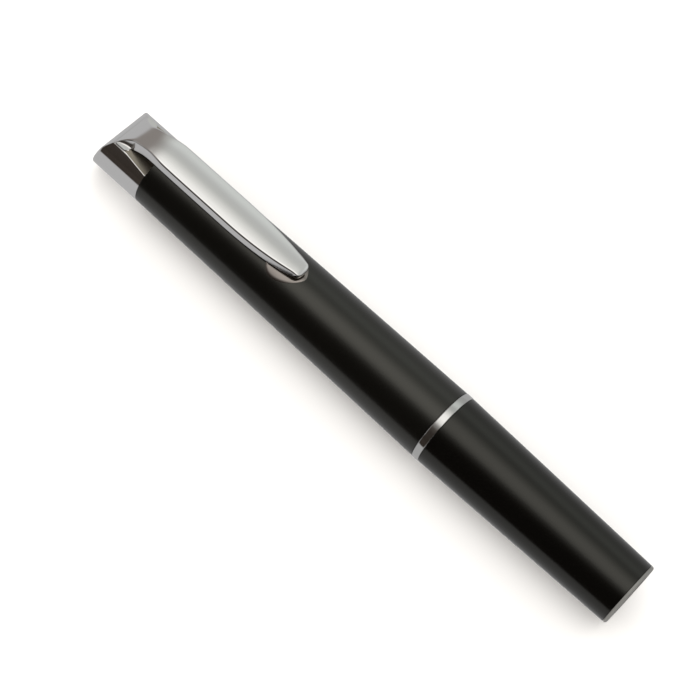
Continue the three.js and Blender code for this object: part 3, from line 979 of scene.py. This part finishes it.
@dataclass
class Head(SubAssembly):
    """Black tapered head with its screw sleeve. Lengths are in millimetres."""

    rear_radius: float = 6.95
    front_radius: float = 6.08
    sleeve_radius: float = 5.8
    sleeve_bore: float = 5.4
    module_bore: float = 5.25
    shoulder: float = 4.4
    shoulder_rear: float = 27.6
    shoulder_front: float = 28.6
    edge: float = 0.08
    crest: float = 6.2
    pitch: float = 1.0
    turns: float = 3.25
    steps_each_turn: int = 48
    thread_start: float = 0.35
    thread_half_root: float = 0.225
    thread_half_crest: float = 0.1
    thread_sink: float = 0.1
    sleeve_edge: float = 0.1
    sleeve_play: float = 0.05

    def build(self) -> None:
        """Makes the shell and the threaded sleeve."""
        rear, front = self.pen.span("head_shell")
        sleeve_end = self.pen.span("threaded_sleeve")[1] + self.sleeve_play
        seat = self.sleeve_radius + self.sleeve_play
        low, high = self.shoulder_rear, self.shoulder_front
        outside = [(rear, seat), (rear, self.rear_radius), (front, self.front_radius)]
        module = [(front, self.module_bore), (high, self.module_bore)]
        shoulder = [(high, self.shoulder), (low, self.shoulder)]
        socket = [(low, self.sleeve_bore), (sleeve_end, self.sleeve_bore), (sleeve_end, seat)]
        shell = self.pen.turned(outside + module + shoulder + socket)
        soften(shell, self.edge)
        self.add(shell, Body.HEAD, "black_body", "head_shell", HEAD_BLACK)
        self.add(self.sleeve(), Body.HEAD, "sleeve_metal", "threaded_sleeve", TURNED_METAL)

    def sleeve(self) -> Mesh:
        """Makes the sleeve with its screw thread.

        Returns:
            The sleeve, with the thread sunk a little into it.
        """
        ends = self.pen.span("threaded_sleeve")
        mesh = self.pen.tube(ends, self.sleeve_bore, self.sleeve_radius, INNER_SEGMENTS)
        soften(mesh, self.sleeve_edge)
        start = ends[0] + self.thread_start
        root = self.sleeve_radius - self.thread_sink
        corners = (
            (-self.thread_half_root, root),
            (-self.thread_half_crest, self.crest),
            (self.thread_half_crest, self.crest),
            (self.thread_half_root, root),
        )
        verts = [mesh.verts.new(self.pen.point(start + x, radius, 0.0)) for x, radius in corners]
        steps = self.steps_each_turn
        count = round(steps * self.turns)
        bmesh.ops.spin(
            mesh,
            geom=[mesh.faces.new(verts)],
            cent=self.pen.point(0.0, 0.0, 0.0),
            axis=AXIS,
            dvec=(self.pitch * MM / steps, 0.0, 0.0),
            angle=2 * math.pi * count / steps,
            steps=count,
        )
        bmesh.ops.recalc_face_normals(mesh, faces=mesh.faces)
        return mesh


@dataclass
class LampEnd(SubAssembly):
    """Rim, lens, reflector and light source at the front of the head. Lengths are in millimetres."""

    rim_radius: float = 6.07
    skirt_radius: float = 5.2
    skirt_bore: float = 4.75
    opening: float = 4.3
    edge: float = 0.03
    front_round: float = 0.45
    front_steps: int = 5
    rim_gap: float = 0.05
    lens_radius: float = 4.7
    lens_edge: float = 0.1
    reflector_throat: float = 2.65
    reflector_mouth: float = 4.4
    reflector_wall: float = 0.45
    reflector_flange: float = 0.6
    reflector_steps: int = 24
    led_radius: float = 2.5
    led_flange: float = 2.9
    led_flange_depth: float = 1.0
    dome_steps: int = 16

    def build(self) -> None:
        """Makes the rim, the lens, the reflector and the light source."""
        self.add(self.rim(), Body.HEAD, "black_body", "lens_bezel", RIM_METAL)
        self.add(self.lens(), Body.HEAD, "lens_clear", "lens", CLEAR)
        self.add(self.reflector(), Body.HEAD, "reflector", "reflector", MIRROR)
        self.add(self.led(), Body.HEAD, "led_clear", "led", LED_CLEAR)

    def rim(self) -> Mesh:
        """Makes the rim, with a skirt that holds the lens.

        Returns:
            The rim.
        """
        rear, front = self.pen.span("lens_bezel")
        _, seat = self.pen.span("head_shell")
        step, size = seat + self.rim_gap, self.front_round
        skirt = [(rear, self.skirt_bore), (rear, self.skirt_radius), (step, self.skirt_radius)]
        edge = [
            (front - size * (1 - math.sin(turn)), self.rim_radius - size * (1 - math.cos(turn)))
            for turn in quarter(self.front_steps)
        ]
        inside = [(front, self.opening), (seat, self.opening), (seat, self.skirt_bore)]
        mesh = self.pen.turned(skirt + [(step, self.rim_radius)] + edge + inside)
        soften(mesh, self.edge, segments=2)
        return mesh

    def lens(self) -> Mesh:
        """Makes the flat lens."""
        mesh = self.pen.tube(self.pen.span("lens"), 0.0, self.lens_radius, INNER_SEGMENTS)
        soften(mesh, self.lens_edge)
        return mesh

    def reflector(self) -> Mesh:
        """Makes the reflector's bowl and flange.

        Returns:
            The reflector.
        """
        rear, front = self.pen.span("reflector")
        shares = [i / self.reflector_steps for i in range(self.reflector_steps + 1)]
        throat, rise = self.reflector_throat, self.reflector_mouth - self.reflector_throat
        bowl = [(rear + (front - rear) * s, throat + rise * math.sqrt(s)) for s in shares]
        step = front - self.reflector_flange
        back = [(x, radius + self.reflector_wall) for x, radius in bowl if x < step]
        flange = [(step, back[-1][1]), (step, self.skirt_radius), (front, self.skirt_radius)]
        return self.pen.turned(back + flange + bowl[::-1], INNER_SEGMENTS)

    def led(self) -> Mesh:
        """Makes the light source's dome and flange.

        Returns:
            The light source.
        """
        rear, front = self.pen.span("led")
        radius = self.led_radius
        turns = quarter(self.dome_steps)[:-1]
        dome = [(front - radius + radius * math.sin(turn), radius * math.cos(turn)) for turn in turns]
        step = rear + self.led_flange_depth
        base = [(rear, 0.0), (rear, self.led_flange), (step, self.led_flange), (step, radius)]
        return self.pen.turned(base + dome + [(front, 0.0)], SMALL_SEGMENTS)


def dress_cad_nodes() -> None:
    """Gives the inner CAD nodes the surfaces of their slots."""
    slots = {s["node"]: s["material_slot"] for s in frame["record"]["subparts"]}
    for name, node in frame["nodes"].items():
        node.data.materials.clear()
        node.data.materials.append(SLOT_FINISHES[slots[name]].material())
        LOG.info("dressed CAD node %s as %s", name, slots[name])


@dataclass(frozen=True)
class PhotoCamera:
    """Camera fitted to the photograph, in its own axes: right, up and back.

    Attributes:
        lens: Focal length, in millimetres, as the sensor's width is.
        origin: The middle of the barrel's front face, in millimetres from the camera.
        along: Direction of the pen towards its lamp.
        facing: Direction across the pen that faces the camera.
        roll: Turn of the clip from that direction, in degrees.
    """

    lens: float = 108.0
    sensor: float = 36.0
    nearest: float = 0.01
    origin: Triple = (15.0308, -12.4842, -352.1619)
    along: Triple = (0.729252, -0.656987, 0.191213)
    facing: Triple = (-0.14357, 0.12631, 0.98155)
    roll: float = 27.0

    def axes(self) -> Matrix:
        """Finds the pen's axes as the camera sees them.

        Returns:
            A matrix with the pen's X, Y and Z as columns.
        """
        x = Vector(self.along).normalized()
        facing = Vector(self.facing)
        facing = (facing - x * facing.dot(x)).normalized()
        side = facing.cross(x)
        turn = math.radians(self.roll)
        z = facing * math.cos(turn) + side * math.sin(turn)
        return Matrix((x, z.cross(x), z)).transposed()

    def place(self, pen: PenFrame) -> None:
        """Puts the camera in the scene.

        Args:
            pen: The pen's frame.
        """
        inverse = self.axes().transposed()
        data = bpy.data.cameras.new("photo_camera")
        data.sensor_width = self.sensor
        data.lens = self.lens
        data.clip_start = self.nearest
        camera = show(data.name, data)
        spot = inverse @ (Vector(self.origin) * -1.0)
        camera.matrix_world = Matrix.Translation(pen.point(*spot)) @ inverse.to_4x4()
        bpy.context.scene.camera = camera
        LOG.info("camera placed")


@dataclass(frozen=True)
class Softbox:
    """A soft lamp placed round the pen. Bright metal shows the studio's sky in its place.

    Attributes:
        across: Degrees from straight up, towards +Y.
        along: Degrees from straight up, towards the lamp end.
        distance: Distance from the pen, in metres, as its size along and across the pen is.
        power: Power in watts.
    """

    name: str
    across: float
    along: float
    distance: float
    length: float
    width: float
    power: float
    colour: Colour = (1.0, 1.0, 1.0)

    def place(self) -> None:
        """Puts the lamp in the scene, facing the pen."""
        data = bpy.data.lights.new(self.name, "AREA")
        data.shape = "RECTANGLE"
        data.size = self.length
        data.size_y = self.width
        data.energy = self.power
        data.color = self.colour
        lamp = show(self.name, data)
        across = Matrix.Rotation(-math.radians(self.across), 4, "X")
        along = Matrix.Rotation(math.radians(self.along), 4, "Y")
        lamp.matrix_world = across @ along @ Matrix.Translation((0.0, 0.0, self.distance))
        lamp.visible_glossy = False
        LOG.info("lamp %s placed", self.name)


@dataclass(frozen=True)
class Studio:
    """Pale floor, white background and soft lamps.

    Attributes:
        floor_seen: The floor beside the pen, as bright metal shows it.
        shade_seen: The same past a distance from near to far, in metres.
        tail_seen: What is behind the tail, as bright metal shows it.
        tail_rise: Rise over which that turns from the floor's tone to its own.
        tail_turn: Turn to the tail over which the sky gives way to it.
        sky: Degrees across the pen from straight up, and the colour that metal shows there.
    """

    floor_size: float = 6.0
    floor_colour: Colour = (0.93, 0.92, 0.91)
    floor_roughness: float = 0.9
    floor_seen: Colour = (0.47, 0.47, 0.475)
    shade_seen: Colour = (0.040, 0.032, 0.027)
    near: float = 0.030
    far: float = 0.034
    tail_seen: Colour = (0.25, 0.23, 0.215)
    tail_rise: Pair = (0.16, 0.26)
    tail_turn: Pair = (-0.42, -0.72)
    ambient: float = 0.92
    ambient_colour: Colour = (1.0, 0.98, 0.95)
    sky: tuple[tuple[float, Colour], ...] = (
        (-92.0, (0.032, 0.026, 0.021)),
        (-60.0, (0.036, 0.029, 0.025)),
        (-46.0, (0.075, 0.066, 0.058)),
        (-34.0, (0.32, 0.31, 0.30)),
        (-24.0, (0.95, 0.94, 0.91)),
        (-12.0, (1.22, 1.20, 1.16)),
        (2.0, (1.16, 1.15, 1.12)),
        (14.0, (0.82, 0.82, 0.79)),
        (26.0, (0.52, 0.53, 0.51)),
        (34.0, (0.50, 0.51, 0.50)),
        (46.0, (0.66, 0.69, 0.67)),
        (54.0, (0.62, 0.645, 0.63)),
        (70.0, (0.44, 0.45, 0.44)),
        (95.0, (0.40, 0.40, 0.40)),
    )
    lamps: tuple[Softbox, ...] = (
        Softbox("top_box", -3.0, -11.0, 0.6, 0.7, 0.44, 1.0),
        Softbox("side_box", 58.0, -11.0, 0.6, 1.0, 0.78, 1.5, (0.97, 0.99, 1.0)),
        Softbox("left_fill", -58.0, 0.0, 0.6, 1.2, 0.7, 2.6, (1.0, 0.975, 0.945)),
    )

    def floor_material(self) -> bpy.types.Material:
        """Makes the floor's surface, which metal shows as grey near the pen and dark further off.

        Returns:
            The node material.
        """
        material = bpy.data.materials.new("pale_floor")
        material.use_nodes = True
        tree, nodes, links = material.node_tree, material.node_tree.nodes, material.node_tree.links
        shader = nodes["Principled BSDF"]
        shader.inputs["Base Color"].default_value = (*self.floor_colour, 1.0)
        shader.inputs["Roughness"].default_value = self.floor_roughness
        shader.inputs["Specular IOR Level"].default_value = 0.0
        coords = nodes.new("ShaderNodeTexCoord")
        split = nodes.new("ShaderNodeSeparateXYZ")
        links.new(coords.outputs["Object"], split.inputs["Vector"])
        reach = remap(tree, split.outputs["Y"], -self.near, -self.far)
        tone = mix(tree, Mix.COLOUR, reach.outputs["Result"], self.floor_seen, self.shade_seen)
        seen = nodes.new("ShaderNodeEmission")
        links.new(tone, seen.inputs["Color"])
        glossy = nodes.new("ShaderNodeLightPath").outputs["Is Glossy Ray"]
        chosen = mix(tree, Mix.SHADER, glossy, shader.outputs["BSDF"], seen.outputs["Emission"])
        links.new(chosen, nodes["Material Output"].inputs["Surface"])
        return material

    def place_floor(self) -> None:
        """Lays the floor under the torch."""
        mesh = bmesh.new()
        bmesh.ops.create_grid(mesh, x_segments=1, y_segments=1, size=self.floor_size / 2)
        data = store(mesh, "floor")
        data.materials.append(self.floor_material())
        floor = show("floor", data)

    def sky_colour(self, tree: Tree) -> Socket:
        """Makes the soft bands of light that bright surfaces show.

        Args:
            tree: The world's node tree.

        Returns:
            The socket with the colour in each direction.
        """
        nodes, links = tree.nodes, tree.links
        coords = nodes.new("ShaderNodeTexCoord")
        split = nodes.new("ShaderNodeSeparateXYZ")
        links.new(coords.outputs["Generated"], split.inputs["Vector"])
        across = nodes.new("ShaderNodeMath")
        across.operation = "ARCTAN2"
        links.new(split.outputs["Y"], across.inputs[0])
        links.new(split.outputs["Z"], across.inputs[1])
        share = remap(tree, across.outputs["Value"], -math.pi, math.pi)
        bands = nodes.new("ShaderNodeValToRGB")
        elements = bands.color_ramp.elements
        while len(elements) < len(self.sky):
            elements.new(1.0)
        for element, (angle, colour) in zip(elements, self.sky):
            element.position = (angle + 180.0) / 360.0
            element.color = (*colour, 1.0)
        links.new(share.outputs["Result"], bands.inputs["Fac"])
        rise = remap(tree, split.outputs["Z"], *self.tail_rise)
        tail = mix(tree, Mix.COLOUR, rise.outputs["Result"], self.floor_seen, self.tail_seen)
        turn = remap(tree, split.outputs["X"], *self.tail_turn)
        turn.interpolation_type = "SMOOTHSTEP"
        return mix(tree, Mix.COLOUR, turn.outputs["Result"], bands.outputs["Color"], tail)

    def place_world(self) -> None:
        """Makes the surroundings: white for the camera, bands for metal, soft light for the rest."""
        world = bpy.data.worlds.new("studio")
        bpy.context.scene.world = world
        world.use_nodes = True
        tree = world.node_tree
        nodes, links = tree.nodes, tree.links
        light = nodes["Background"]
        light.inputs["Color"].default_value = (*self.ambient_colour, 1.0)
        light.inputs["Strength"].default_value = self.ambient
        room = nodes.new("ShaderNodeBackground")
        links.new(self.sky_colour(tree), room.inputs["Color"])
        white = nodes.new("ShaderNodeBackground")
        white.inputs["Color"].default_value = (1.0, 1.0, 1.0, 1.0)
        path = nodes.new("ShaderNodeLightPath")
        lit, shown, plain = (node.outputs["Background"] for node in (light, room, white))
        bright = mix(tree, Mix.SHADER, path.outputs["Is Glossy Ray"], lit, shown)
        seen = mix(tree, Mix.SHADER, path.outputs["Is Camera Ray"], bright, plain)
        links.new(seen, nodes["World Output"].inputs["Surface"])

    def build(self) -> None:
        """Sets up the floor, the world and the lamps."""
        self.place_floor()
        self.place_world()
        for lamp in self.lamps:
            lamp.place()
        bpy.context.scene.view_settings.view_transform = "Standard"


def main() -> None:
    """Builds the torch's looks, the studio and the camera."""
    logging.basicConfig(level=logging.INFO, format="%(name)s: %(relativeCreated)d ms: %(message)s")
    pen = PenFrame.from_cad()
    dress_cad_nodes()
    for group in (Barrel(pen), TailCap(pen), Clip(pen), MidRing(pen), Head(pen), LampEnd(pen)):
        group.build()
        group.dress()
    Studio().build()
    PhotoCamera().place(pen)


if __name__ == "__main__":
    main()
